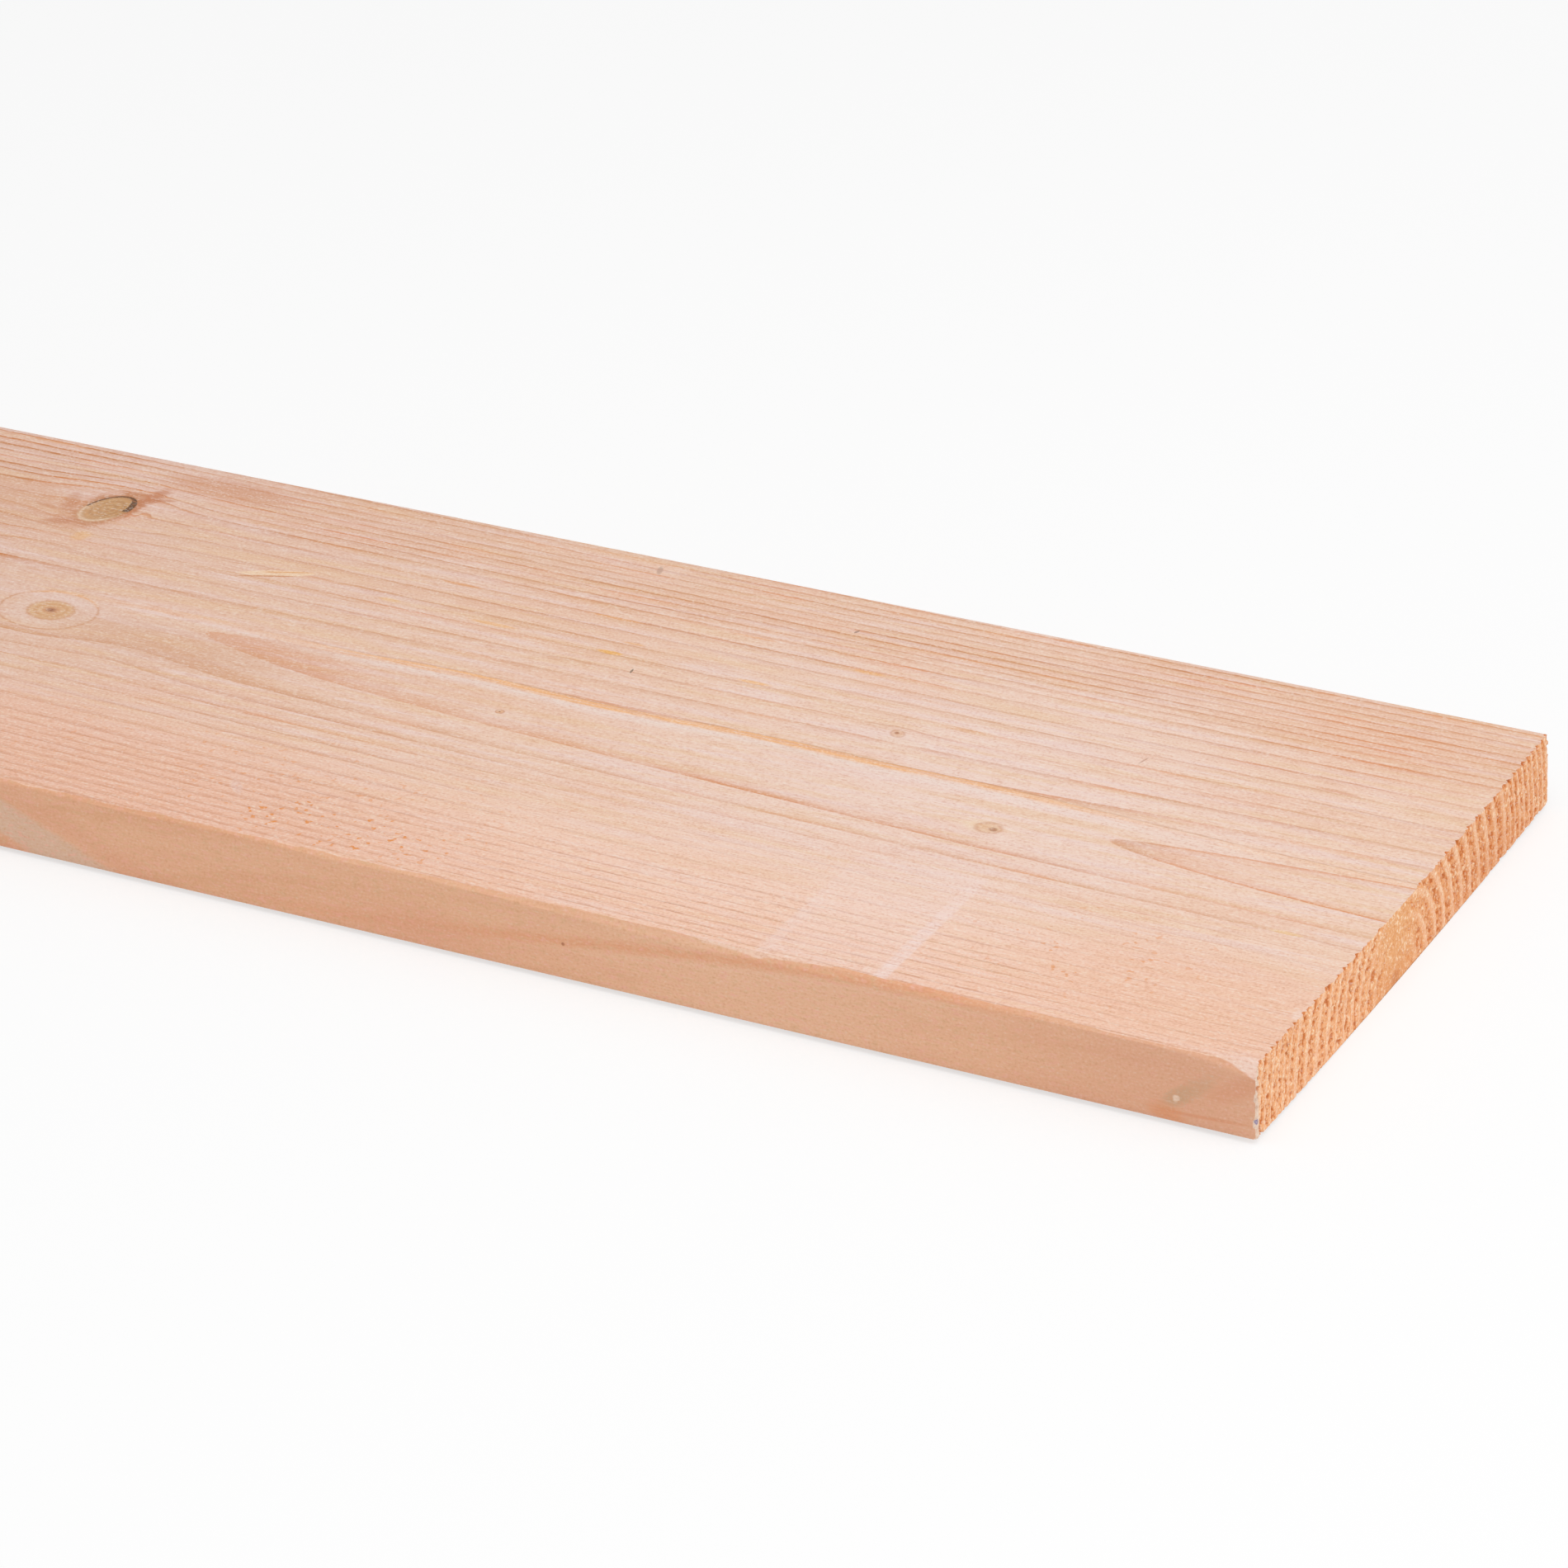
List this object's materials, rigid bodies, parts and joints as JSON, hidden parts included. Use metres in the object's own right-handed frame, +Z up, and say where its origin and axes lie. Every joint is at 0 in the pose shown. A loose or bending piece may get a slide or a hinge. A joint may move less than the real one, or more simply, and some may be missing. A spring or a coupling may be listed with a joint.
{
  "type": "timber plank",
  "caption": "Sawn softwood plank, slightly cupped across its width, with square-cut ends, lightly broken arrises and a narrow wavy strip of wane along a top arris.",
  "frame": {"origin": "on the floor under the middle of the plank, where the convex underside touches", "axes": "+X runs along the grain to the end that has the worn corner, +Y across the width to the edge without wane, +Z up through the thickness"},
  "size_m": [1.8, 0.2, 0.0233],
  "materials": {
    "softwood": "sawn, unfinished"
  },
  "bodies": {
    "root": {"plank": "softwood"}
  },
  "joints": []
}
